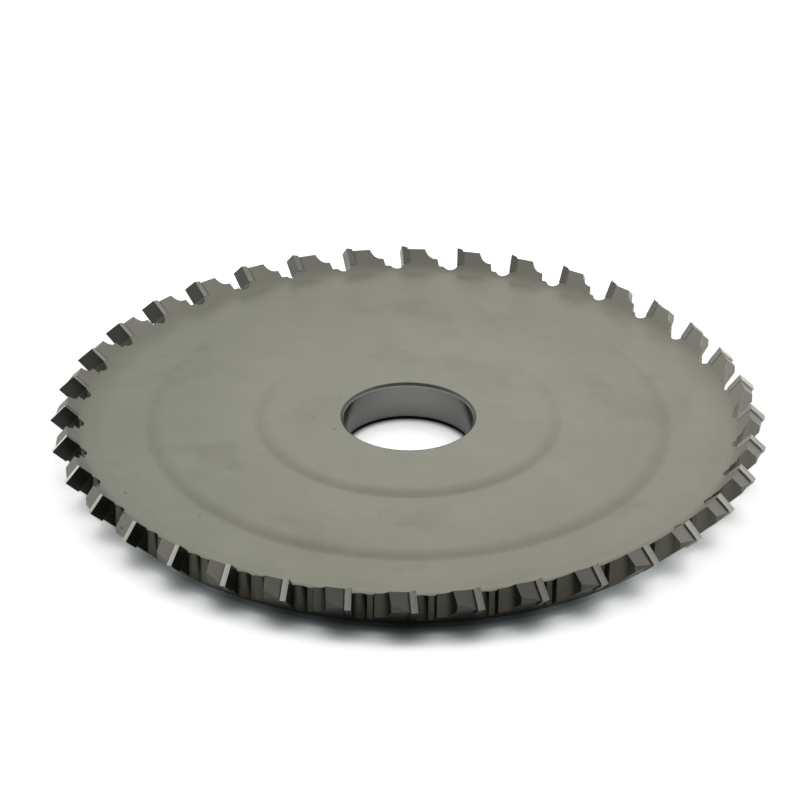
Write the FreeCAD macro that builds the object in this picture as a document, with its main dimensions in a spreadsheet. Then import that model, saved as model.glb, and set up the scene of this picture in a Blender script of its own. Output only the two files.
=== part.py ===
"""Carbide-tipped circular saw blade with a dished rim and 36 vee-shaped teeth.

Millimetres, +Z up. The blade lies on its flat back face: the origin is the centre of
that face, and the turning axis is Z. Seen from above the teeth point counter-clockwise.
The first tooth has the outermost corner of its tip on the +X axis.

The steel body is one turned disc: a thick hub with a bore, a soft step down to the web,
another down to the plate, and a rim that flares up at 45 degrees to a vee. Gullets and
tip seats are cut into the rim, and a square carbide tip stands on its corner in each
seat, face to face with the seat's back wall and floor.
"""
import FreeCAD, Part
import math
import os
import Sketcher

# Places that a sketch constraint can hold: an edge's two ends, an arc's centre, and the
# sketch's own origin and horizontal axis.
START, END, CENTRE = range(1, 4)
ORIGIN = X_AXIS = -START
CUT_TOLERANCE = 0.01

SIZES = [
    ("tooth_count", 36, "teeth round the rim"),
    ("tip_radius", 110.0, "axis to the outermost corner of a tip"),
    ("vee_height", 11.4, "back face to the outermost corner of a tip"),
    ("edge_rise", 4.7, "outermost corner of a tip up, and in, to its top corner"),
    ("side_fall", 4.1, "outermost corner of a tip down, and in, to its low corner"),
    ("tip_thickness", 1.9, "carbide, along the cut"),
    ("rake_angle", 7.0, "rake face against the radius, degrees"),
    ("land_relief", 18.0, "tip's cutting bevel falls away behind the edge, degrees"),
    ("side_relief", 3.0, "tip's two sides fall away behind the edge, degrees"),
    ("land_drop", 0.95, "steel bevel below the tip's cutting edge, square to it"),
    ("flank_drop", 0.55, "steel flank inside the tip's outer side, square to it"),
    ("cone_drop", 0.35, "steel cone inside the tip's inner side, square to it"),
    ("bore_radius", 20.0, "bore for the arbor"),
    ("bore_top_chamfer", 0.75, "chamfer at the hub face"),
    ("bore_back_chamfer", 0.6, "chamfer at the back face"),
    ("plate_height", 10.5, "back face to the plate inside the rim"),
    ("outer_step", 0.85, "plate up to the web, the ring between the two steps"),
    ("inner_step", 0.85, "web up to the hub face"),
    ("web_radius", 79.5, "foot of the outer step"),
    ("hub_radius", 46.3, "foot of the inner step"),
    ("step_round", 12.0, "round of both steps, tangent to the face above"),
    ("rim_fill", 1.1, "fill between the plate and the flared rim, along each of them"),
    ("back_edge_break", 0.4, "chamfer where the flank meets the back face"),
    ("gullet_depth", 10.42, "outermost corner of a tip in to the gullet's floor"),
    ("gullet_round", 2.4, "radius of the gullet's floor"),
    ("sill_width", 0.15, "steel of the rake face under the tip's inner corner"),
    ("ledge_depth", 9.3, "outermost corner of a tip in to the ledge"),
    ("ledge_reach", 4.8, "tip's radius line to the foot of the step on the ledge"),
    ("step_lean", 24.0, "lean of the step above the ledge, degrees"),
    ("shelf_depth", 7.6, "outermost corner of a tip in to the shelf"),
    ("back_round", 4.0, "hollow of the tooth's back"),
    ("heel_lean", 22.0, "lean of the tooth's back below its heel, degrees"),
    ("heel_inset", 2.2, "outermost corner of a tip in to the heel"),
    ("tooth_angle", 4.05, "heel to the outermost corner of its tip, degrees"),
    ("cutter_over", 3.0, "how far the cutting outlines run past the rim"),
]

# Formulas that more than one sketch uses. Every flank of the rim stands at 45 degrees.
PITCH = "360 / Sizes.tooth_count"
EDGE_SUM = "(Sizes.tip_radius + Sizes.vee_height - Sizes.land_drop * sqrt(2))"
FLANK_LESS = "(Sizes.tip_radius - Sizes.vee_height - Sizes.flank_drop * sqrt(2))"
CONE_LESS = ("(Sizes.tip_radius - Sizes.vee_height - 2 * Sizes.edge_rise"
             " + Sizes.cone_drop * sqrt(2))")
STEEL_VEE_RADIUS = f"(({EDGE_SUM} + {FLANK_LESS}) / 2)"
STEEL_VEE_HEIGHT = f"(({EDGE_SUM} - {FLANK_LESS}) / 2)"
STEEL_TOP_RADIUS = f"(({EDGE_SUM} + {CONE_LESS}) / 2)"
STEEL_TOP_HEIGHT = f"(({EDGE_SUM} - {CONE_LESS}) / 2)"
WEB_HEIGHT = "(Sizes.plate_height + Sizes.outer_step)"
HUB_HEIGHT = f"({WEB_HEIGHT} + Sizes.inner_step)"

doc = FreeCAD.newDocument("SawBlade")
sheet = doc.addObject("Spreadsheet::Sheet", "Sizes")
for row, (alias, number, note) in enumerate(SIZES, start=1):
    sheet.set(f"A{row}", alias)
    sheet.set(f"B{row}", str(number))
    sheet.set(f"C{row}", note)
    sheet.setAlias(f"B{row}", alias)
doc.recompute()


def value(formula):
    """Number that a formula on the sheet gives."""
    return float(sheet.evalExpression(formula))


def size(alias):
    """Number in one named cell."""
    return value(f"Sizes.{alias}")


def point(x_formula, y_formula):
    """Sketch point from two formulas."""
    return FreeCAD.Vector(value(x_formula), value(y_formula), 0)


def origin_feature(body, role):
    """Plane or axis of a body's own origin."""
    for feature in body.Origin.OriginFeatures:
        if feature.Role == role:
            return feature
    raise ValueError(role)


def new_sketch(body, name, plane_role):
    """Empty sketch on one of the body's own planes."""
    sketch = body.newObject("Sketcher::SketchObject", name)
    sketch.AttachmentSupport = [(origin_feature(body, plane_role), "")]
    sketch.MapMode = "FlatFace"
    return sketch


def bind(sketch, constraint, formula):
    """Add a constraint whose number follows a formula on the sheet."""
    index = sketch.addConstraint(constraint)
    sketch.renameConstraint(index, f"size_{index}")
    sketch.setExpression(f"Constraints.size_{index}", formula)


def pin(sketch, line, end, x_formula=None, y_formula=None):
    """Hold one end of a line, or a centre, at a place from the sketch's origin."""
    place = sketch.getPoint(line, end)
    if x_formula:
        across = Sketcher.Constraint("DistanceX", ORIGIN, START, line, end, place.x)
        bind(sketch, across, x_formula)
    if y_formula:
        along = Sketcher.Constraint("DistanceY", ORIGIN, START, line, end, place.y)
        bind(sketch, along, y_formula)


def line(sketch, first, second):
    """Add a straight edge and return its index."""
    return sketch.addGeometry(Part.LineSegment(first, second), False)


def arc(sketch, first, middle, last):
    """Add an arc through three points and return its index."""
    return sketch.addGeometry(Part.Arc(first, middle, last), False)


def arc_end(sketch, index, place):
    """Which end of an arc lies at a place: an arc always runs counter-clockwise."""
    gap = sketch.getPoint(index, START).distanceToPoint(place)
    other_gap = sketch.getPoint(index, END).distanceToPoint(place)
    return START if gap < other_gap else END


def join(sketch, first, first_end, second, second_end, smooth=False):
    """Join two edges at their ends, tangent if the corner is smooth."""
    kind = "Tangent" if smooth else "Coincident"
    sketch.addConstraint(Sketcher.Constraint(kind, first, first_end, second, second_end))


def polygon(sketch, corners):
    """Closed outline of straight edges, each corner held by its two formulas."""
    places = [point(*corner) for corner in corners]
    count = len(places)
    edges = [line(sketch, places[i], places[(i + 1) % count]) for i in range(count)]
    for i in range(count):
        join(sketch, edges[i], END, edges[(i + 1) % count], START)
    for edge, (x_formula, y_formula) in zip(edges, corners):
        pin(sketch, edge, START, x_formula, y_formula)


def step_edge(sketch, foot_radius, upper_height, lower_height):
    """Rounded step: an arc tangent to the face above, ending sharp on the face below."""
    radius = size("step_round")
    foot = point(foot_radius, lower_height)
    upper = value(upper_height)
    fall = upper - foot.y
    run = math.sqrt(radius ** 2 - (radius - fall) ** 2)
    head = FreeCAD.Vector(foot.x - run, upper, 0)
    half_turn = math.asin(run / radius) / 2
    middle = FreeCAD.Vector(head.x + radius * math.sin(half_turn),
                            upper - radius + radius * math.cos(half_turn), 0)
    return arc(sketch, head, middle, foot), head, foot


def draw_section(sketch):
    """Half section of the turned disc: radius across, height up."""
    bore = "Sizes.bore_radius"
    plate = "Sizes.plate_height"
    back_out = point(f"{bore} + Sizes.bore_back_chamfer", "0")
    back_in = point(bore, "Sizes.bore_back_chamfer")
    top_in = point(bore, f"{HUB_HEIGHT} - Sizes.bore_top_chamfer")
    top_out = point(f"{bore} + Sizes.bore_top_chamfer", HUB_HEIGHT)
    fill_rise = "Sizes.rim_fill / sqrt(2)"
    fill_in = (f"{CONE_LESS} + {plate} - Sizes.rim_fill", plate)
    fill_out = (f"{CONE_LESS} + {plate} + {fill_rise}", f"{plate} + {fill_rise}")
    steel_top = point(STEEL_TOP_RADIUS, STEEL_TOP_HEIGHT)
    steel_vee = point(STEEL_VEE_RADIUS, STEEL_VEE_HEIGHT)
    flank_foot = point(f"{FLANK_LESS} + Sizes.back_edge_break", "Sizes.back_edge_break")
    back_rim = point(f"{FLANK_LESS} - Sizes.back_edge_break", "0")

    hub_step, hub_head, hub_foot = step_edge(sketch, "Sizes.hub_radius", HUB_HEIGHT, WEB_HEIGHT)
    web_step, web_head, web_foot = step_edge(sketch, "Sizes.web_radius", WEB_HEIGHT, plate)
    back_chamfer = line(sketch, back_out, back_in)
    bore_wall = line(sketch, back_in, top_in)
    top_chamfer = line(sketch, top_in, top_out)
    hub_face = line(sketch, top_out, hub_head)
    web_face = line(sketch, hub_foot, web_head)
    plate_face = line(sketch, web_foot, point(*fill_in))
    fill = line(sketch, point(*fill_in), point(*fill_out))
    cone = line(sketch, point(*fill_out), steel_top)
    bevel = line(sketch, steel_top, steel_vee)
    flank = line(sketch, steel_vee, flank_foot)
    edge_break = line(sketch, flank_foot, back_rim)
    back_face = line(sketch, back_rim, back_out)

    join(sketch, back_chamfer, END, bore_wall, START)
    join(sketch, bore_wall, END, top_chamfer, START)
    join(sketch, top_chamfer, END, hub_face, START)
    join(sketch, hub_face, END, hub_step, arc_end(sketch, hub_step, hub_head), smooth=True)
    join(sketch, hub_step, arc_end(sketch, hub_step, hub_foot), web_face, START)
    join(sketch, web_face, END, web_step, arc_end(sketch, web_step, web_head), smooth=True)
    join(sketch, web_step, arc_end(sketch, web_step, web_foot), plate_face, START)
    join(sketch, plate_face, END, fill, START)
    join(sketch, fill, END, cone, START)
    join(sketch, cone, END, bevel, START)
    join(sketch, bevel, END, flank, START)
    join(sketch, flank, END, edge_break, START)
    join(sketch, edge_break, END, back_face, START)
    join(sketch, back_face, END, back_chamfer, START)

    for face in (hub_face, web_face, plate_face):
        sketch.addConstraint(Sketcher.Constraint("Horizontal", face))
    for step in (hub_step, web_step):
        radius = Sketcher.Constraint("Radius", step, size("step_round"))
        bind(sketch, radius, "Sizes.step_round")
    pin(sketch, back_chamfer, START, f"{bore} + Sizes.bore_back_chamfer")
    sketch.addConstraint(Sketcher.Constraint("PointOnObject", back_chamfer, START, X_AXIS))
    pin(sketch, bore_wall, START, bore, "Sizes.bore_back_chamfer")
    pin(sketch, bore_wall, END, bore, f"{HUB_HEIGHT} - Sizes.bore_top_chamfer")
    pin(sketch, hub_face, START, f"{bore} + Sizes.bore_top_chamfer", HUB_HEIGHT)
    pin(sketch, web_face, START, "Sizes.hub_radius", WEB_HEIGHT)
    pin(sketch, plate_face, START, "Sizes.web_radius", plate)
    pin(sketch, fill, START, fill_in[0])
    pin(sketch, cone, START, *fill_out)
    pin(sketch, bevel, START, STEEL_TOP_RADIUS, STEEL_TOP_HEIGHT)
    pin(sketch, flank, START, STEEL_VEE_RADIUS, STEEL_VEE_HEIGHT)
    pin(sketch, edge_break, START, f"{FLANK_LESS} + Sizes.back_edge_break",
        "Sizes.back_edge_break")
    pin(sketch, back_face, START, f"{FLANK_LESS} - Sizes.back_edge_break")
    sketch.addConstraint(Sketcher.Constraint("PointOnObject", back_face, START, X_AXIS))


def draw_gullet(sketch):
    """Outline of what is cut away ahead of one tip, up to the back of the next tip."""
    radius = "Sizes.tip_radius"
    over = "Sizes.cutter_over"
    rake = "Sizes.rake_angle"
    floor_x = f"({radius} - Sizes.gullet_depth + Sizes.gullet_round)"
    ledge_x = f"({radius} - Sizes.ledge_depth)"
    shelf_x = f"({radius} - Sizes.shelf_depth)"
    heel_radius = f"({radius} - Sizes.heel_inset)"
    heel_turn = f"({PITCH} - Sizes.tooth_angle)"
    heel_x = f"{heel_radius} * cos({heel_turn})"
    heel_y = f"{heel_radius} * sin({heel_turn})"

    # Back of the next tip, first in that tip's own frame and then turned by one pitch.
    behind = (f"(Sizes.tip_thickness / cos({rake})"
              f" + ({radius} - {STEEL_VEE_RADIUS}) * tan({rake}))")
    nose_x = f"{STEEL_VEE_RADIUS} * cos({PITCH}) + {behind} * sin({PITCH})"
    nose_y = f"{STEEL_VEE_RADIUS} * sin({PITCH}) - {behind} * cos({PITCH})"
    clear_x = f"({radius} + {over}) * cos({PITCH}) + {behind} * sin({PITCH})"
    clear_y = f"({radius} + {over}) * sin({PITCH}) - {behind} * cos({PITCH})"

    # The rake face ends just inside the tip, and the gullet's round starts there.
    face_length = "(Sizes.edge_rise + Sizes.side_fall + Sizes.sill_width)"
    foot_x = f"{radius} - {face_length} * cos({rake})"
    foot_y = f"-{face_length} * sin({rake})"
    outside = point(f"{radius} + {over}", f"{over} * tan({rake})")
    rake_foot = point(foot_x, foot_y)
    floor_round = size("gullet_round")
    centre_x = value(floor_x)
    half_width = math.sqrt(floor_round ** 2 - (rake_foot.x - centre_x) ** 2)
    floor_centre = FreeCAD.Vector(centre_x, rake_foot.y + half_width, 0)
    half_width = math.sqrt(floor_round ** 2 - (value(ledge_x) - centre_x) ** 2)
    ledge_start = FreeCAD.Vector(value(ledge_x), floor_centre.y + half_width, 0)
    floor_middle = floor_centre - FreeCAD.Vector(floor_round, 0, 0)
    ledge_end = point(ledge_x, "Sizes.ledge_reach")
    climb = value(shelf_x) - ledge_end.x
    shelf_start = FreeCAD.Vector(value(shelf_x), ledge_end.y
                                 + climb * math.tan(math.radians(size("step_lean"))), 0)
    heel = point(heel_x, heel_y)
    heel_turn_in = math.radians(size("heel_lean"))
    meeting_y = heel.y - (heel.x - shelf_start.x) * math.tan(heel_turn_in)
    reach = size("back_round") * math.tan((math.pi / 2 - heel_turn_in) / 2)
    back_start = FreeCAD.Vector(shelf_start.x, meeting_y - reach, 0)
    back_end = FreeCAD.Vector(shelf_start.x + reach * math.cos(heel_turn_in),
                              meeting_y + reach * math.sin(heel_turn_in), 0)
    half_way = (math.pi / 2 - heel_turn_in) / 2
    back_centre = back_start + FreeCAD.Vector(size("back_round"), 0, 0)
    back_middle = back_centre + FreeCAD.Vector(-size("back_round") * math.cos(half_way),
                                               size("back_round") * math.sin(half_way), 0)
    nose = point(nose_x, nose_y)
    clear = point(clear_x, clear_y)

    rake_face = line(sketch, rake_foot, outside)
    floor = arc(sketch, rake_foot, floor_middle, ledge_start)
    ledge = line(sketch, ledge_start, ledge_end)
    step = line(sketch, ledge_end, shelf_start)
    shelf = line(sketch, shelf_start, back_start)
    back = arc(sketch, back_start, back_middle, back_end)
    heel_wall = line(sketch, back_end, heel)
    nose_relief = line(sketch, heel, nose)
    way_out = line(sketch, nose, clear)
    closing = line(sketch, clear, outside)

    join(sketch, rake_face, START, floor, arc_end(sketch, floor, rake_foot))
    join(sketch, floor, arc_end(sketch, floor, ledge_start), ledge, START)
    join(sketch, ledge, END, step, START)
    join(sketch, step, END, shelf, START)
    join(sketch, shelf, END, back, arc_end(sketch, back, back_start), smooth=True)
    join(sketch, back, arc_end(sketch, back, back_end), heel_wall, START, smooth=True)
    join(sketch, heel_wall, END, nose_relief, START)
    join(sketch, nose_relief, END, way_out, START)
    join(sketch, way_out, END, closing, START)
    join(sketch, closing, END, rake_face, END)

    for upright in (ledge, shelf):
        sketch.addConstraint(Sketcher.Constraint("Vertical", upright))
    for edge, angle in ((rake_face, "rake_angle"), (step, "step_lean"),
                        (heel_wall, "heel_lean")):
        lean = Sketcher.Constraint("Angle", edge, math.radians(size(angle)))
        bind(sketch, lean, f"Sizes.{angle}")
    bind(sketch, Sketcher.Constraint("Radius", floor, floor_round), "Sizes.gullet_round")
    bind(sketch, Sketcher.Constraint("Radius", back, size("back_round")), "Sizes.back_round")
    pin(sketch, rake_face, START, foot_x)
    pin(sketch, rake_face, END, f"{radius} + {over}", f"{over} * tan({rake})")
    pin(sketch, floor, CENTRE, floor_x)
    pin(sketch, ledge, END, ledge_x, "Sizes.ledge_reach")
    pin(sketch, step, END, shelf_x)
    pin(sketch, heel_wall, END, heel_x, heel_y)
    pin(sketch, nose_relief, END, nose_x, nose_y)
    pin(sketch, way_out, END, clear_x, clear_y)


def on_rake_plane(sketch):
    """Turn a sketch into the plane of the rake face of the first tooth."""
    sketch.setExpression("AttachmentOffset.Rotation.Axis.x", "0")
    sketch.setExpression("AttachmentOffset.Rotation.Axis.y", "1")
    sketch.setExpression("AttachmentOffset.Rotation.Axis.z", "0")
    sketch.setExpression("AttachmentOffset.Rotation.Angle", "Sizes.rake_angle")
    sketch.setExpression("AttachmentOffset.Base.x", "Sizes.tip_radius")


def draw_seat(sketch):
    """Square-cornered notch that leaves the seat's floor for the tip's inner end."""
    over = "Sizes.cutter_over"
    vee = "Sizes.vee_height"
    rise = "Sizes.edge_rise"
    fall = "Sizes.side_fall"
    depth = f"({fall} + {over})"
    floor_in = (f"-{rise} - {fall} - {over}", f"{vee} + {rise} - {fall} + {over}")
    floor_low = (f"-{fall} + {over}", f"{vee} - {fall} - {over}")
    mouth_low = (f"{floor_low[0]} + {depth}", f"{floor_low[1]} + {depth}")
    mouth_in = (f"{floor_in[0]} + {depth}", f"{floor_in[1]} + {depth}")
    polygon(sketch, (floor_in, floor_low, mouth_low, mouth_in))


def build_blade_body():
    """Turned steel disc with its gullets and tip seats."""
    body = doc.addObject("PartDesign::Body", "BladeBody")
    body.Label = "blade_body"
    section = new_sketch(body, "RimSection", "XZ_Plane")
    draw_section(section)
    disc = body.newObject("PartDesign::Revolution", "TurnedDisc")
    disc.Profile = section
    disc.ReferenceAxis = (section, ["V_Axis"])
    disc.Angle = 360
    doc.recompute()
    turned_volume = body.Shape.Volume

    gullet_outline = new_sketch(body, "GulletOutline", "XY_Plane")
    draw_gullet(gullet_outline)
    gullet = body.newObject("PartDesign::Pocket", "Gullet")
    gullet.Profile = gullet_outline
    gullet.Type = "ThroughAll"
    gullet.Midplane = True

    seat_outline = new_sketch(body, "SeatOutline", "XZ_Plane")
    on_rake_plane(seat_outline)
    draw_seat(seat_outline)
    seat = body.newObject("PartDesign::Pocket", "Seat")
    seat.Profile = seat_outline
    seat.Reversed = True
    seat.setExpression("Length", "Sizes.tip_thickness")
    doc.recompute()
    one_tooth_volume = body.Shape.Volume

    teeth = body.newObject("PartDesign::PolarPattern", "Teeth")
    teeth.Originals = [gullet, seat]
    teeth.Axis = (origin_feature(body, "Z_Axis"), [""])
    teeth.Angle = 360
    teeth.setExpression("Occurrences", "Sizes.tooth_count")
    body.Tip = teeth
    doc.recompute()
    cut_once = turned_volume - one_tooth_volume
    cut_all = turned_volume - body.Shape.Volume
    expected = cut_once * size("tooth_count")
    if abs(cut_all - expected) > CUT_TOLERANCE * expected:
        raise RuntimeError(f"teeth cut {cut_all:.1f} mm3, not {expected:.1f}")
    return body


def build_tip(number):
    """One carbide tip: a square plate on its corner, narrower behind its edges.

    Its X runs from the cutting bevel down to the seat, its Y from the rake face to the
    brazed back, and its Z from the outer flank to the inner one.
    """
    tip = doc.addObject("Part::Wedge", f"Tip{number:02d}")
    tip.Label = f"tip_{number:02d}"
    land_in = "Sizes.tip_thickness * tan(Sizes.land_relief)"
    side_in = "Sizes.tip_thickness * tan(Sizes.side_relief)"
    for side in ("Xmin", "Ymin", "Zmin"):
        tip.setExpression(side, "0")
    for side in ("Xmax", "X2max"):
        tip.setExpression(side, "Sizes.side_fall * sqrt(2)")
    tip.setExpression("X2min", land_in)
    tip.setExpression("Ymax", "Sizes.tip_thickness")
    tip.setExpression("Zmax", "Sizes.edge_rise * sqrt(2)")
    tip.setExpression("Z2min", side_in)
    tip.setExpression("Z2max", f"Sizes.edge_rise * sqrt(2) - {side_in}")
    on_corner = "placement(vector(0; 0; 0); rotation(vector(-sin(22.5); 0; cos(22.5)); 180))"
    at_rim = ("placement(vector(Sizes.tip_radius; 0; Sizes.vee_height);"
              " rotation(vector(0; 0; 1); Sizes.rake_angle))")
    round_rim = f"placement(vector(0; 0; 0); rotation(vector(0; 0; 1); {number - 1} * {PITCH}))"
    tip.setExpression("Placement", f"{round_rim} * {at_rim} * {on_corner}")
    return tip


def check_document():
    """Stop if any object failed to build."""
    for item in doc.Objects:
        if "Invalid" in item.State or "Error" in item.State:
            raise RuntimeError(f"{item.Label}: {item.State}")
        if item.TypeId == "Sketcher::SketchObject" and item.solve() != 0:
            raise RuntimeError(f"{item.Label} does not solve")


def export_parts(parts):
    """Write each sub-part to its own file, after checking its solid."""
    os.makedirs("parts", exist_ok=True)
    for part in parts:
        shape = part.Shape
        if shape.isNull() or not shape.isValid() or len(shape.Solids) != 1:
            raise RuntimeError(f"{part.Label} is not one valid solid")
        shape.exportStep(f"parts/{part.Label}.step")


blade_body = build_blade_body()
tips = [build_tip(number) for number in range(1, int(size("tooth_count")) + 1)]
doc.recompute()
check_document()
export_parts([blade_body] + tips)
print("blade_body volume", round(blade_body.Shape.Volume, 1))
print("tip volume", round(tips[0].Shape.Volume, 3))
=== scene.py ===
"""Looks for the circular saw blade: steel and ground carbide materials, light and camera."""

import math
from types import SimpleNamespace

import bpy
from mathutils import Matrix, Vector

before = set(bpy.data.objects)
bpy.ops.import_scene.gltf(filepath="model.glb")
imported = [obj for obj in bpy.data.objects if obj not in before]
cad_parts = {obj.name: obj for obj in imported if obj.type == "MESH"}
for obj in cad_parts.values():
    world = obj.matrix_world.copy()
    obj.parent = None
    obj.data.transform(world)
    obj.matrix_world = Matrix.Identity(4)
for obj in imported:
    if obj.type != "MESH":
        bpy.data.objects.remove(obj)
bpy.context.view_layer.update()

MM_PER_M = 1000.0

# The blade's own figures, in millimetres and radians.
TEETH = 36
TIP_RADIUS = 110.0
PITCH = math.radians(10)
RAKE = math.radians(7)
# The top is round from here out: the bore's chamfer ends before it.
TOP_START = 22.0
# The bore's chamfer ends this high up its wall.
CHAMFER_FOOT = 11.45
# The hollow up the inner side of the rim: its middle and half its width.
HOLLOW_MIDDLE = 100.0
HOLLOW = 4.6
# Where each of the two steps down begins, is steepest and ends, and how steep it gets.
STEPS = ((74.5, 79.3, 82.0), (41.6, 46.0, 48.2))
STEP_SLOPE = 0.14
# How much painted shade darkens each step at its steepest.
STEP_SHADE = -0.11

# Directions about the turning axis.
FRONT = math.radians(178.4)
# The side towards which the gullet walls are painted lighter.
LIT_SIDE = math.radians(-46)
# The side towards which the rim's flared faces are painted darker.
SHADED_SIDE = math.radians(185)
# The shadow is deepest below the middle of a tooth, which lags its cutting corner.
SHADOW_PHASE = TEETH * math.radians(1.9)

# Colours of the steel.
PLATE_RIGHT = (0.303, 0.292, 0.240, 1)
PLATE_LEFT = (0.290, 0.291, 0.236, 1)
RIM_INSIDE = (0.252, 0.246, 0.208, 1)
RIM_OUTSIDE = (0.230, 0.224, 0.196, 1)
# Painted shade: the flank under the rim is painted dark.
RIM_UNDER_SHADE = (0.110, 0.106, 0.092, 1)
BORE_CHAMFER = (0.106, 0.108, 0.099, 1)
BORE_WALL = (0.136, 0.141, 0.132, 1)
# Milled gullet walls: a painted-shade colour and a painted-light colour, mixed by side.
MILLED_SHADED = (0.074, 0.072, 0.058, 1)
MILLED_LIT = (0.196, 0.190, 0.160, 1)
# Edges: partly worn steel, partly painted highlight and glint.
STEEL_WORN_AND_HIGHLIGHT = (0.42, 0.41, 0.37, 1)
STEEL_TONE = 1.02

# Colours of the carbide.
# Painted shade: the rake faces are painted near black, standing in for the dark reflections they
# show.
TIP_RAKE_PAINTED_DARK = (0.042, 0.042, 0.037, 1)
TIP_LAND = (0.400, 0.393, 0.358, 1)
TIP_SIDE = (0.245, 0.240, 0.215, 1)
# Painted shade: the tips' undersides are painted dark.
TIP_UNDER_SHADE = (0.120, 0.118, 0.108, 1)
# Edges: partly worn carbide, partly painted highlight.
TIP_WORN_AND_HIGHLIGHT = (0.50, 0.50, 0.47, 1)

# The shadow's depth and the share of the sky that the floor sees, by radius in millimetres.
CONTACT = ((17.6, 1.0), (19.2, 0.50), (19.85, 0.006), (99.0, 0.006), (102.0, 0.04),
           (105.0, 0.16), (107.5, 0.39), (109.8, 0.78), (111.5, 1.0))
SKY_SEEN = ((60.0, 0.60), (90.0, 0.20), (98.0, 0.22), (103.0, 0.44), (108.0, 0.65),
            (112.0, 0.74))
FLOOR_REACH = 200.0
# The shadow's strength, by degrees about the axis with the front at 180.
SIDES = ((70, 0.14), (115, 0.26), (150, 0.66), (180, 1.0), (200, 0.76), (222, 0.30),
         (290, 0.16))
FLOOR_GAIN = 1.50
FLOOR_PLAIN = (0.8, 0.8, 0.8, 1)
FLOOR_HALF_SIDE = 3.0
FLOOR_DROP = 0.0004

# The studio's light, by the height of its direction.
SKY = ((0.0, 1.07), (0.26, 1.12), (0.50, 0.97), (0.72, 0.84), (0.87, 0.79), (1.0, 0.80))
# The near side of the studio, above the camera, is dimmer than the rest.
NEAR_SIDE = (-0.5540, 0.1485, 0.8192)
NEAR_DIM = 0.47
NEAR_EDGE = math.radians(62)
NEAR_CORE = math.radians(10)


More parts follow.
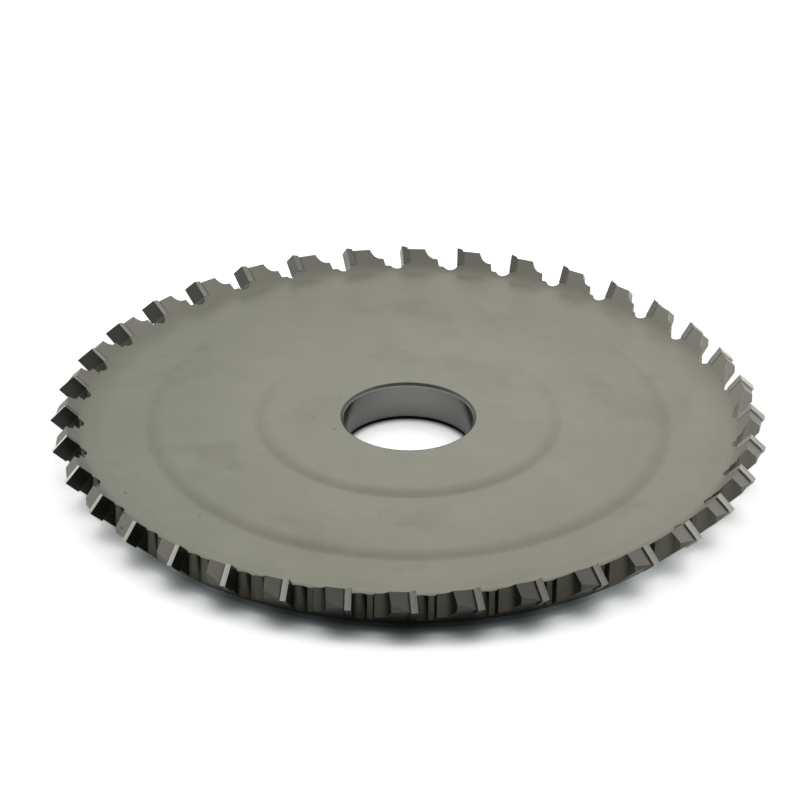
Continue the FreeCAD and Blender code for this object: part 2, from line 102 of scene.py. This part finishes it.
class Nodes:
    """Small builder for the node tree of a material or of the world."""

    def __init__(self, owner, output):
        owner.use_nodes = True
        self.tree = owner.node_tree
        self.tree.nodes.clear()
        self.out = self.tree.nodes.new(output)

    def add(self, kind, **settings):
        node = self.tree.nodes.new(kind)
        for key, value in settings.items():
            setattr(node, key, value)
        return node

    def link(self, source, target):
        self.tree.links.new(source, target)

    def put(self, socket, value):
        """Set a socket to a value or link it to another socket."""
        if isinstance(value, bpy.types.NodeSocket):
            self.link(value, socket)
        else:
            socket.default_value = value

    def math(self, operation, first, second=0.0, third=0.0):
        node = self.add("ShaderNodeMath", operation=operation)
        for socket, value in zip(node.inputs, (first, second, third)):
            self.put(socket, value)
        return node.outputs[0]

    def weigh(self, terms, start=0.0):
        """Add up values, each times its own weight."""
        total = start
        for value, weight in terms:
            total = self.math("MULTIPLY_ADD", value, weight, total)
        return total

    def centred(self, value):
        return self.math("SUBTRACT", value, 0.5)

    def facing(self, angle, direction):
        """1 towards a direction about the axis, -1 away from it."""
        return self.math("COSINE", self.math("SUBTRACT", angle, direction))

    def ramp(self, value, low, high, start=0.0, end=1.0):
        """Smooth step of a value between two limits."""
        node = self.add("ShaderNodeMapRange", interpolation_type="SMOOTHSTEP")
        self.put(node.inputs["Value"], value)
        node.inputs["From Min"].default_value = low
        node.inputs["From Max"].default_value = high
        node.inputs["To Min"].default_value = start
        node.inputs["To Max"].default_value = end
        return node.outputs[0]

    def hump(self, value, start, full, fading, end):
        """Rise from the start, stay whole, and fade to the end."""
        return self.math("MULTIPLY", self.ramp(value, start, full),
                         self.ramp(value, end, fading))

    def curve(self, value, reach, stops, interpolation="LINEAR"):
        """A value read off a list of places and levels, each place up to the reach."""
        node = self.add("ShaderNodeValToRGB")
        self.link(self.math("DIVIDE", value, reach), node.inputs[0])
        ramp = node.color_ramp
        ramp.interpolation = interpolation
        while len(ramp.elements) < len(stops):
            ramp.elements.new(0.5)
        for element, (place, level) in zip(ramp.elements, stops):
            element.position = place / reach
            element.color = (level, level, level, 1)
        return node.outputs["Color"]

    def float_mix(self, factor, first, second):
        node = self.add("ShaderNodeMix", data_type="FLOAT")
        self.put(node.inputs["Factor"], factor)
        self.put(node.inputs["A"], first)
        self.put(node.inputs["B"], second)
        return node.outputs["Result"]

    def mix(self, factor, first, second):
        node = self.add("ShaderNodeMix", data_type="RGBA")
        self.put(node.inputs["Factor"], factor)
        self.put(node.inputs["A"], first)
        self.put(node.inputs["B"], second)
        return node.outputs["Result"]

    def layered(self, colour, layers):
        """Cover a colour with others, each where its own mask says."""
        for mask, cover in layers:
            colour = self.mix(mask, colour, cover)
        return colour

    def noise(self, vector, scale, detail=3.0, roughness=0.5, distortion=0.0):
        node = self.add("ShaderNodeTexNoise")
        self.link(vector, node.inputs["Vector"])
        node.inputs["Scale"].default_value = scale
        node.inputs["Detail"].default_value = detail
        node.inputs["Roughness"].default_value = roughness
        node.inputs["Distortion"].default_value = distortion
        return node.outputs["Fac"]

    def combine(self, x, y, z):
        node = self.add("ShaderNodeCombineXYZ")
        for socket, value in zip(node.inputs, (x, y, z)):
            self.put(socket, value)
        return node.outputs[0]

    def split(self, vector):
        node = self.add("ShaderNodeSeparateXYZ")
        self.link(vector, node.inputs[0])
        return node.outputs

    def scaled(self, vector, amount):
        node = self.add("ShaderNodeVectorMath", operation="SCALE")
        self.link(vector, node.inputs[0])
        self.put(node.inputs["Scale"], amount)
        return node.outputs[0]

    def stretched(self, vector, factors):
        node = self.add("ShaderNodeVectorMath", operation="MULTIPLY")
        self.link(vector, node.inputs[0])
        node.inputs[1].default_value = factors
        return node.outputs[0]

    def dot(self, first, second):
        node = self.add("ShaderNodeVectorMath", operation="DOT_PRODUCT")
        self.link(first, node.inputs[0])
        self.put(node.inputs[1], second)
        return node.outputs["Value"]

    def bump(self, height, strength, distance, normal):
        node = self.add("ShaderNodeBump")
        node.inputs["Strength"].default_value = strength
        node.inputs["Distance"].default_value = distance
        self.link(height, node.inputs["Height"])
        self.link(normal, node.inputs["Normal"])
        return node.outputs[0]

    def metal(self, colour, rough, normal):
        """Finish a material as bare metal."""
        shader = self.add("ShaderNodeBsdfPrincipled")
        shader.inputs["Metallic"].default_value = 1.0
        self.link(colour, shader.inputs["Base Color"])
        self.link(rough, shader.inputs["Roughness"])
        self.link(normal, shader.inputs["Normal"])
        self.link(shader.outputs[0], self.out.inputs["Surface"])


def new_material(name):
    material = bpy.data.materials.new(name)
    return material, Nodes(material, "ShaderNodeOutputMaterial")


def round_axis(nodes):
    """Position in millimetres, with its radius and angle about the turning axis."""
    coordinates = nodes.add("ShaderNodeTexCoord")
    place = nodes.scaled(coordinates.outputs["Object"], MM_PER_M)
    x, y, height = nodes.split(place)
    radius = nodes.math("SQRT", nodes.math("ADD", nodes.math("MULTIPLY", x, x),
                                           nodes.math("MULTIPLY", y, y)))
    return place, radius, nodes.math("ARCTAN2", y, x)


def own_tooth(nodes, radius, angle):
    """How far a place lies behind the rake face of its own tooth, in millimetres."""
    own = nodes.math("WRAP", angle, PITCH / 2, -PITCH / 2)
    ahead = nodes.math("MULTIPLY", radius, nodes.math("SINE", own))
    out = nodes.math("SUBTRACT", nodes.math("MULTIPLY", radius, nodes.math("COSINE", own)),
                     TIP_RADIUS)
    return nodes.math("SUBTRACT", nodes.math("MULTIPLY", out, math.sin(RAKE)),
                      nodes.math("MULTIPLY", ahead, math.cos(RAKE)))


def survey(nodes):
    """Where a shaded point lies on the blade and how its true face leans."""
    place, radius, angle = round_axis(nodes)
    x, y, height = nodes.split(place)
    normal = nodes.add("ShaderNodeNewGeometry").outputs["True Normal"]
    away = nodes.combine(nodes.math("COSINE", angle), nodes.math("SINE", angle), 0.0)
    return SimpleNamespace(place=place, radius=radius, angle=angle, x=x, y=y, height=height,
                           away=away, upward=nodes.split(normal)[2],
                           leaning=nodes.dot(normal, away),
                           behind=own_tooth(nodes, radius, angle))


def rounded(nodes, radius_mm):
    """Normal with its sharp edges rounded off a little, and how far an edge turned it."""
    bevel = nodes.add("ShaderNodeBevel", samples=6)
    bevel.inputs["Radius"].default_value = radius_mm / MM_PER_M
    place = nodes.add("ShaderNodeNewGeometry")
    turned = nodes.math("SUBTRACT", 1.0, nodes.dot(bevel.outputs[0], place.outputs["Normal"]))
    return bevel.outputs[0], turned


def step_humps(nodes, radius):
    """One mask for each of the two steps."""
    return [nodes.hump(radius, start, crest, crest, end) for start, crest, end in STEPS]


def turned_normal(nodes, spot, strength):
    """The turned top as one smooth surface: two soft steps, then the hollow up the rim."""
    hollow = nodes.ramp(spot.radius, HOLLOW_MIDDLE - HOLLOW, HOLLOW_MIDDLE + HOLLOW)
    slope = nodes.math("MULTIPLY", hollow, -1.0)
    steep = nodes.math("MULTIPLY", strength, STEP_SLOPE)
    slope = nodes.weigh([(step, steep) for step in step_humps(nodes, spot.radius)], slope)
    raised = nodes.add("ShaderNodeVectorMath", operation="ADD")
    nodes.link(nodes.scaled(spot.away, slope), raised.inputs[0])
    raised.inputs[1].default_value = (0, 0, 1)
    unit = nodes.add("ShaderNodeVectorMath", operation="NORMALIZE")
    nodes.link(raised.outputs[0], unit.inputs[0])
    return unit.outputs[0]


def turned_top(nodes, spot):
    """The part of the steel that is turned, from the hub to the inner side of the rim."""
    top = nodes.math("GREATER_THAN", spot.upward, 0.6)
    top = nodes.math("MULTIPLY", top, nodes.math("GREATER_THAN", nodes.math(
        "SUBTRACT", spot.upward, spot.leaning), 0.45))
    return nodes.math("MULTIPLY", top, nodes.math("GREATER_THAN", spot.radius, TOP_START))


def steel_grain(nodes, spot):
    """The noises that the steel's tone, roughness and bump share."""
    around = nodes.math("MULTIPLY", spot.angle, 2.0)
    rings = nodes.combine(nodes.math("MULTIPLY", spot.radius, 6.0), around, spot.height)
    return SimpleNamespace(lines=nodes.noise(rings, 1.0, 4.0, 0.65),
                           mottle=nodes.noise(spot.place, 0.035, 3.0, 0.55),
                           fine=nodes.noise(spot.place, 1.6, 4.0, 0.6))


def steel_tone(nodes, spot, grain, flared, strength):
    """Brightness of the steel: stains, wipe marks and specks, with painted shade behind the tips
    and on the steps, and painted light and shade by side.
    """
    specks = nodes.ramp(nodes.noise(spot.place, 0.45, 1.0, 0.4), 0.79, 0.82)
    clouds = nodes.noise(spot.place, 0.085, 4.0, 0.6, 0.6)
    streaks = nodes.noise(nodes.stretched(spot.place, (0.55, 0.030, 0.30)), 1.0, 3.0, 0.55)
    smudge = nodes.ramp(nodes.noise(spot.place, 0.045, 3.0, 0.5, 0.2), 0.54, 0.74)
    # Painted shade: a dark band on the steel in the corner behind each tip.
    tip_corner_shade = nodes.math("MULTIPLY", nodes.ramp(spot.behind, 2.75, 2.10),
                       nodes.math("GREATER_THAN", spot.behind, 1.8))
    tip_corner_shade = nodes.math("MULTIPLY", tip_corner_shade, nodes.ramp(spot.radius, 100.8, 102.0))
    # Painted light and shade: the rim's flared faces are painted darker on the near side and
    # lighter on the far side.
    facing = nodes.facing(spot.angle, SHADED_SIDE)
    near = nodes.math("MULTIPLY", nodes.ramp(facing, 0.70, 1.0), flared)
    far = nodes.math("MULTIPLY", nodes.ramp(facing, -0.30, -1.0), flared)
    painted_step_shade = nodes.math("MULTIPLY", strength, STEP_SHADE)
    terms = [
        (nodes.centred(grain.mottle), 0.20),
        (nodes.centred(clouds), 0.14),
        (nodes.centred(streaks), 0.05),
        (smudge, -0.09),
        (tip_corner_shade, -0.42),
        (nodes.centred(grain.fine), 0.10),
        (nodes.centred(grain.lines), 0.05),
        # Painted light: the steel is painted lighter towards negative y and x.
        (spot.y, -0.0007),
        (spot.x, -0.0003),
        (nodes.ramp(spot.radius, 48.0, 76.0), -0.07),
        (specks, -0.35),
        # Painted shade along the two steps.
        *((step, painted_step_shade) for step in step_humps(nodes, spot.radius)),
        (near, -0.34),
        (far, 0.27),
    ]
    return nodes.math("ADD", nodes.weigh(terms), STEEL_TONE)


def steel_base(nodes, spot, flared, turned, bore):
    """Colour of each kind of face, before its tone."""
    # Painted light and shade: the milled gullet walls are painted lighter on one side of the rim
    # and darker elsewhere.
    toward = nodes.facing(spot.angle, LIT_SIDE)
    milled = nodes.mix(nodes.ramp(toward, 0.34, 0.96), MILLED_SHADED, MILLED_LIT)
    wall = nodes.mix(bore, milled, BORE_WALL)
    plate = nodes.mix(nodes.ramp(spot.y, -100.0, 100.0), PLATE_RIGHT, PLATE_LEFT)
    # The outer bevel is darker than the inner side of the rim, and the flank under it is painted
    # dark as shade.
    outer = nodes.math("MULTIPLY", nodes.ramp(spot.leaning, 0.2, 0.5), flared)
    under = nodes.math("MULTIPLY", nodes.ramp(spot.upward, -0.3, -0.6),
                       nodes.ramp(spot.radius, 97.0, 98.5))
    ground = nodes.layered(plate, (
        (flared, RIM_INSIDE), (outer, RIM_OUTSIDE), (under, RIM_UNDER_SHADE),
        (nodes.ramp(spot.radius, 21.0, 20.9), BORE_CHAMFER)))
    return nodes.mix(turned, wall, ground)


def steel_wear_and_highlight(nodes, spot, edge, top, bore):
    """Bright edges, partly worn steel and partly painted highlight, and a painted glint where
    the bore's chamfer meets its wall.
    """
    wear_and_highlight = nodes.math("MULTIPLY", nodes.ramp(edge, 0.03, 0.20), nodes.math("SUBTRACT", 1.0, top))
    above = nodes.math("ABSOLUTE", nodes.math("SUBTRACT", spot.height, CHAMFER_FOOT))
    glint = nodes.math("MULTIPLY", nodes.ramp(above, 0.20, 0.08), bore)
    return nodes.math("MAXIMUM", nodes.math("MULTIPLY", wear_and_highlight, 0.30),
                      nodes.math("MULTIPLY", glint, 0.55))


def steel_roughness(nodes, spot, grain, flared, turned, bore):
    polished = nodes.weigh(((grain.mottle, 0.08), (grain.fine, 0.06),
                            (nodes.ramp(spot.radius, 90.0, 99.0), 0.10), (flared, 0.05)), 0.27)
    wall = nodes.weigh(((grain.fine, 0.12), (bore, -0.20)), 0.34)
    return nodes.float_mix(turned, wall, polished)


def steel_material():
    material, nodes = new_material("turned_steel")
    spot = survey(nodes)
    grain = steel_grain(nodes, spot)
    up = nodes.math("ABSOLUTE", spot.upward)
    turned = nodes.ramp(up, 0.45, 0.60)
    bore = nodes.ramp(spot.radius, 20.5, 20.3)
    # The flared faces of the rim are milled, not polished.
    flared = nodes.math("MULTIPLY", nodes.ramp(up, 0.98, 0.75),
                        nodes.ramp(spot.radius, 90.0, 97.0))
    flared = nodes.math("MAXIMUM", flared, nodes.ramp(spot.radius, 97.5, 102.5))
    # The steps' slope and painted shade fade to a quarter on the far side.
    strength = nodes.ramp(nodes.facing(spot.angle, FRONT), -0.95, -0.35, 0.25, 1.0)

    top = turned_top(nodes, spot)
    soft, edge = rounded(nodes, 0.15)
    blend = nodes.add("ShaderNodeMix", data_type="VECTOR")
    nodes.link(top, blend.inputs["Factor"])
    nodes.link(soft, blend.inputs[4])
    nodes.link(turned_normal(nodes, spot, strength), blend.inputs[5])
    bumped = nodes.bump(grain.lines, 0.10, 0.00002, blend.outputs[1])
    bumped = nodes.bump(grain.fine, 0.08, 0.00004, bumped)

    colour = nodes.scaled(steel_base(nodes, spot, flared, turned, bore),
                          steel_tone(nodes, spot, grain, flared, strength))
    colour = nodes.mix(steel_wear_and_highlight(nodes, spot, edge, top, bore), colour, STEEL_WORN_AND_HIGHLIGHT)
    nodes.metal(colour, steel_roughness(nodes, spot, grain, flared, turned, bore), bumped)
    return material


def carbide_material():
    material, nodes = new_material("ground_carbide")
    spot = survey(nodes)
    rake = nodes.ramp(spot.behind, 0.06, 0.03)
    land = nodes.math("MULTIPLY", nodes.math("GREATER_THAN", spot.leaning, 0.4),
                      nodes.math("GREATER_THAN", spot.upward, 0.3))

    grain = nodes.noise(spot.place, 2.2, 4.0, 0.6)
    lines = nodes.noise(nodes.stretched(spot.place, (1.0, 1.0, 14.0)), 1.3, 3.0, 0.6)
    # A fine line parts the honed strip at the cutting edge from the rest of the land.
    honed = nodes.hump(spot.behind, 0.34, 0.42, 0.54, 0.62)
    tone = nodes.weigh(((grain, 0.14), (nodes.math("MULTIPLY", honed, land), -0.30)), 0.93)
    # Painted shade darkens the tips' undersides and rake faces.
    side = nodes.layered(nodes.mix(land, TIP_SIDE, TIP_LAND), (
        (nodes.ramp(spot.upward, -0.3, -0.5), TIP_UNDER_SHADE), (rake, TIP_RAKE_PAINTED_DARK)))
    soft, edge = rounded(nodes, 0.08)
    # Bright edges: partly worn carbide, partly painted highlight.
    wear_and_highlight = nodes.math("MULTIPLY", nodes.ramp(edge, 0.04, 0.25), 0.25)
    colour = nodes.mix(wear_and_highlight, nodes.scaled(side, tone), TIP_WORN_AND_HIGHLIGHT)
    rough = nodes.weigh(((lines, 0.10), (rake, 0.12)), 0.18)
    nodes.metal(colour, rough, nodes.bump(lines, 0.10, 0.00002, soft))
    return material


def shadow_reach(nodes, radius, angle):
    """How strongly the shadow shows, by side and below each tooth."""
    # The light comes from the far side, so the shadow is deepest in front.
    around = nodes.math("WRAP", nodes.math("SUBTRACT", angle, FRONT), math.pi, -math.pi)
    side = nodes.curve(nodes.math("ADD", around, math.pi), 2 * math.pi,
                       [(math.radians(place), level) for place, level in SIDES])
    wave = nodes.math("COSINE", nodes.math("MULTIPLY_ADD", angle, TEETH, SHADOW_PHASE))
    between = nodes.math("MULTIPLY_ADD", nodes.math("MULTIPLY", side, side), 0.55, 0.07)
    close = nodes.math("MULTIPLY", side, nodes.ramp(radius, 104.0, 100.0))
    between = nodes.math("MULTIPLY_ADD", close, 0.35, between)
    reach = nodes.float_mix(nodes.math("MULTIPLY_ADD", wave, 0.5, 0.5), between, side)
    # Away from the front the shadow also ends sooner.
    ending = nodes.math("MULTIPLY", nodes.math("SUBTRACT", 1.0, side),
                        nodes.ramp(radius, 103.0, 108.5))
    reach = nodes.math("MULTIPLY", reach, nodes.math("MULTIPLY_ADD", ending, -0.75, 1.0))
    return nodes.float_mix(nodes.math("LESS_THAN", radius, 40.0), reach, 1.0)


def floor():
    mesh = bpy.data.meshes.new("floor")
    side = FLOOR_HALF_SIDE
    mesh.from_pydata([(-side, -side, 0), (side, -side, 0), (side, side, 0), (-side, side, 0)],
                     [], [(0, 1, 2, 3)])
    plane = bpy.data.objects.new("floor", mesh)
    bpy.context.scene.collection.objects.link(plane)
    plane.location.z = -FLOOR_DROP

    material, nodes = new_material("studio_floor")
    path = nodes.add("ShaderNodeLightPath")
    seen = nodes.math("MAXIMUM", path.outputs["Is Camera Ray"],
                      nodes.math("MAXIMUM", path.outputs["Is Glossy Ray"],
                                 path.outputs["Is Transmission Ray"]))
    _, radius, angle = round_axis(nodes)
    # The shadow fades outward from the rim, and is lifted where the floor sees less sky.
    shade = nodes.math("POWER", nodes.curve(radius, FLOOR_REACH, CONTACT),
                       shadow_reach(nodes, radius, angle))
    level = nodes.math("DIVIDE", shade, nodes.curve(radius, FLOOR_REACH, SKY_SEEN))
    # The deeper the shadow, the cooler its colour.
    cool = nodes.math("MULTIPLY", level, nodes.math("POWER", shade, 0.05))
    plain = nodes.add("ShaderNodeBsdfDiffuse")
    plain.inputs["Color"].default_value = FLOOR_PLAIN
    bright = nodes.add("ShaderNodeBsdfDiffuse")
    nodes.link(nodes.scaled(nodes.combine(cool, level, level), FLOOR_GAIN),
               bright.inputs["Color"])
    mix = nodes.add("ShaderNodeMixShader")
    nodes.link(seen, mix.inputs[0])
    nodes.link(plain.outputs[0], mix.inputs[1])
    nodes.link(bright.outputs[0], mix.inputs[2])
    nodes.link(mix.outputs[0], nodes.out.inputs["Surface"])
    mesh.materials.append(material)


def studio_world():
    world = bpy.data.worlds.new("studio")
    bpy.context.scene.world = world
    nodes = Nodes(world, "ShaderNodeOutputWorld")
    direction = nodes.add("ShaderNodeTexCoord").outputs["Generated"]
    light = nodes.add("ShaderNodeBackground")
    nodes.link(nodes.curve(nodes.split(direction)["Z"], 1.0, SKY, "B_SPLINE"),
               light.inputs["Color"])
    nodes.link(nodes.ramp(nodes.dot(direction, NEAR_SIDE), math.cos(NEAR_EDGE),
                          math.cos(NEAR_CORE), 1.0, NEAR_DIM), light.inputs["Strength"])
    seen = nodes.add("ShaderNodeBackground")
    seen.inputs["Color"].default_value = (1, 1, 1, 1)
    path = nodes.add("ShaderNodeLightPath")
    mix = nodes.add("ShaderNodeMixShader")
    nodes.link(path.outputs["Is Camera Ray"], mix.inputs[0])
    nodes.link(light.outputs[0], mix.inputs[1])
    nodes.link(seen.outputs[0], mix.inputs[2])
    nodes.link(mix.outputs[0], nodes.out.inputs["Surface"])


def camera():
    """Camera at the photograph's angle: the blade itself isn't turned."""
    elevation = 0.5212
    roll = 0.0073
    phase = 1.5986
    tip_radius = TIP_RADIUS / MM_PER_M
    distance = 10.9495 * tip_radius
    across = -0.0237 * tip_radius
    above = 0.0505 * tip_radius
    aim = Vector((0, 0, 0.0114))
    image_width = 800
    focal_pixels = 3915.4
    back = Vector((0, -math.cos(elevation), math.sin(elevation)))
    right = Vector((1, 0, 0))
    up = back.cross(right)
    place = back * distance + right * across + up * above + aim
    axes = Matrix((right, up, back)).transposed().to_4x4()
    pose = Matrix.Translation(place) @ axes @ Matrix.Rotation(roll, 4, "Z")
    data = bpy.data.cameras.new("camera")
    data.sensor_width = 36.0
    data.lens = focal_pixels / image_width * data.sensor_width
    data.clip_start = 0.01
    data.clip_end = 20
    cam = bpy.data.objects.new("camera", data)
    bpy.context.scene.collection.objects.link(cam)
    cam.matrix_world = Matrix.Rotation(-phase, 4, "Z") @ pose
    bpy.context.scene.camera = cam


steel = steel_material()
carbide = carbide_material()
for name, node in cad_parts.items():
    node.data.materials.clear()
    node.data.materials.append(carbide if name.startswith("tip_") else steel)
floor()
studio_world()
camera()
bpy.context.scene.view_settings.view_transform = "Standard"
